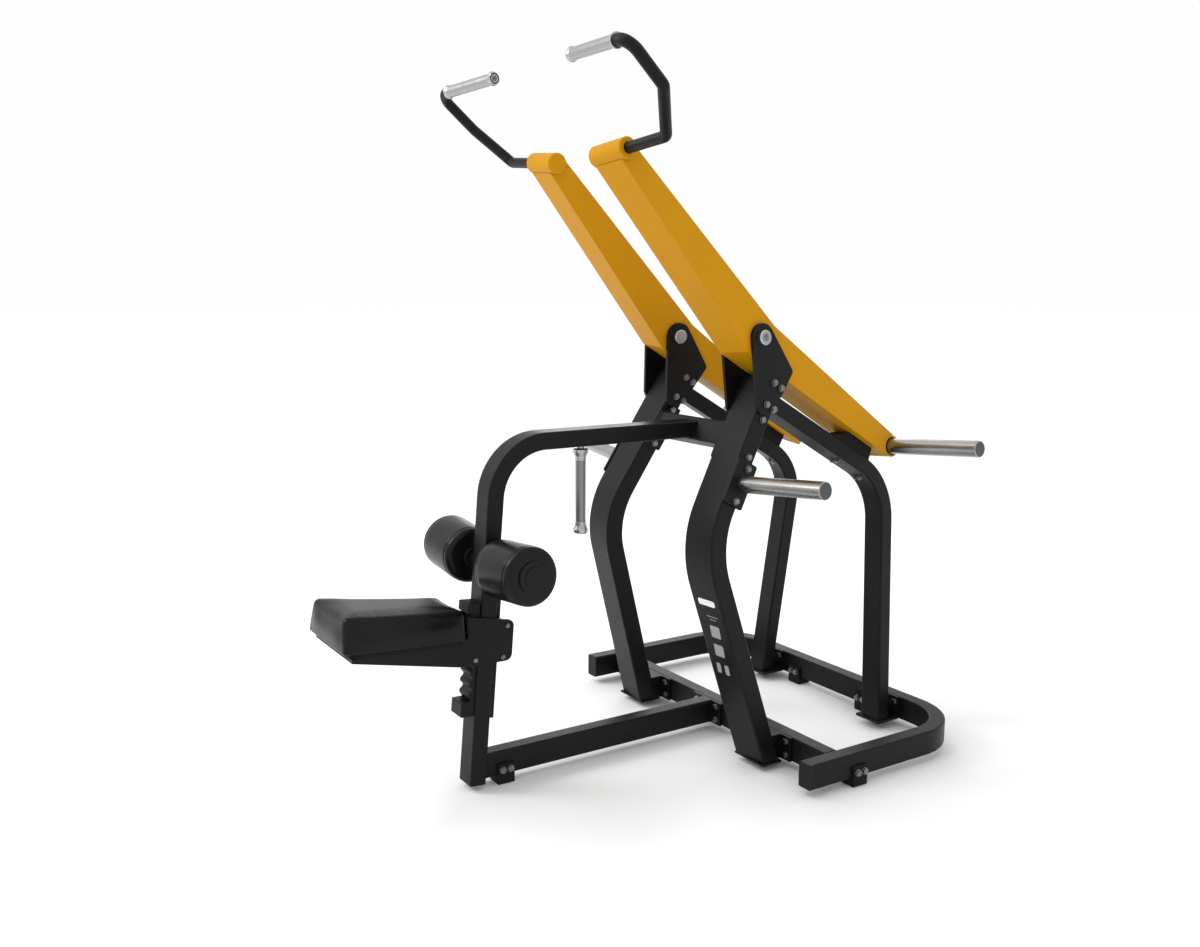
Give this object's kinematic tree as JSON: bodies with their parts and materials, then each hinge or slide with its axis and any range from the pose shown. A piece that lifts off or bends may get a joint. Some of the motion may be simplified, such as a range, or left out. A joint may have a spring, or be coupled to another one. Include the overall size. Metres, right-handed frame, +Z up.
{
  "type": "lat pulldown machine",
  "caption": "Plate-loaded lat pulldown machine with independent pull-down arms, sliding seat, foam thigh rollers and a U-shaped floor frame.",
  "frame": {"origin": "on the floor, below the middle of the overall box", "axes": "+Z up, +X to the machine's right seen from the seat's front edge, +Y from the seat towards the weight horns"},
  "size_m": [1.258, 1.8588, 2.0252],
  "materials": {
    "black_powder_coat": "satin",
    "yellow_powder_coat": "satin",
    "horn_steel": "satin",
    "shaft_steel": "satin",
    "grip_aluminium": "knurled",
    "zinc_bolt": "zinc plated",
    "black_rubber": "matt",
    "black_plastic": "matt",
    "black_vinyl": "grained vinyl",
    "plywood": "raw"
  },
  "bodies": {
    "frame": {"base_u_frame": "black_powder_coat", "base_cross_beam": "black_powder_coat", "base_centre_beam": "black_powder_coat", "tube_end_caps": "black_plastic", "base_feet": "black_rubber", "seat_mast": "black_powder_coat", "upper_cross_member": "black_powder_coat", "seat_rack": "black_powder_coat", "guide_rail": "black_powder_coat", "centre_grip": "grip_aluminium", "centre_grip_knobs": "grip_aluminium", "frame_bolts": "zinc_bolt", "upright_right": "black_powder_coat", "upright_left": "black_powder_coat", "upright_foot_right": "black_powder_coat", "upright_foot_left": "black_powder_coat", "rear_post_right": "black_powder_coat", "rear_post_left": "black_powder_coat", "rear_post_foot_right": "black_powder_coat", "rear_post_foot_left": "black_powder_coat", "pivot_plate_outer_right": "black_powder_coat", "pivot_plate_outer_left": "black_powder_coat", "pivot_plate_inner_right": "black_powder_coat", "pivot_plate_inner_left": "black_powder_coat", "pivot_shaft_right": "shaft_steel", "pivot_shaft_left": "shaft_steel", "bumper_right": "black_rubber", "bumper_left": "black_rubber", "storage_bracket_right": "black_powder_coat", "storage_bracket_left": "black_powder_coat", "storage_horn_right": "horn_steel", "storage_horn_left": "horn_steel", "roller_axle_right": "black_powder_coat", "roller_axle_left": "black_powder_coat"},
    "arm_right": {"arm_shell_right": "yellow_powder_coat", "arm_cover_right": "yellow_powder_coat", "arm_barrel_right": "yellow_powder_coat", "handle_tube_right": "black_powder_coat", "grip_sleeve_right": "grip_aluminium", "grip_collars_right": "grip_aluminium", "loading_horn_right": "horn_steel"},
    "roller_right": {"roller_hub_right": "black_plastic", "roller_foam_right": "black_vinyl"},
    "arm_left": {"arm_shell_left": "yellow_powder_coat", "arm_cover_left": "yellow_powder_coat", "arm_barrel_left": "yellow_powder_coat", "handle_tube_left": "black_powder_coat", "grip_sleeve_left": "grip_aluminium", "grip_collars_left": "grip_aluminium", "loading_horn_left": "horn_steel"},
    "roller_left": {"roller_hub_left": "black_plastic", "roller_foam_left": "black_vinyl"},
    "seat_carriage": {"carriage_plate_right": "black_powder_coat", "carriage_plate_left": "black_powder_coat", "carriage_rollers": "black_plastic", "carriage_bolts": "zinc_bolt", "seat_tray": "black_powder_coat", "seat_board": "plywood", "seat_cushion": "black_vinyl"}
  },
  "joints": [
    {"name": "arm_pull_right", "type": "hinge", "parent": "frame", "child": "arm_right", "pos_m": [0.1981, 0.3062, 1.2726], "axis": [0.9946, 0.0509, 0.0903], "range_deg": [0, 70]},
    {"name": "arm_pull_left", "type": "hinge", "parent": "frame", "child": "arm_left", "pos_m": [-0.1981, 0.3062, 1.2726], "axis": [0.9946, -0.0509, -0.0903], "range_deg": [0, 70]},
    {"name": "roller_spin_right", "type": "hinge", "parent": "frame", "child": "roller_right", "pos_m": [0.078, -0.46, 0.658], "axis": [0.9972, 0.0383, 0.0645], "continuous": true},
    {"name": "roller_spin_left", "type": "hinge", "parent": "frame", "child": "roller_left", "pos_m": [-0.078, -0.46, 0.658], "axis": [-0.9972, 0.0383, 0.0645], "continuous": true},
    {"name": "seat_height", "type": "slide", "parent": "frame", "child": "seat_carriage", "axis": [0, 0.0827, 0.9966], "range_m": [-0.099, 0]}
  ]
}
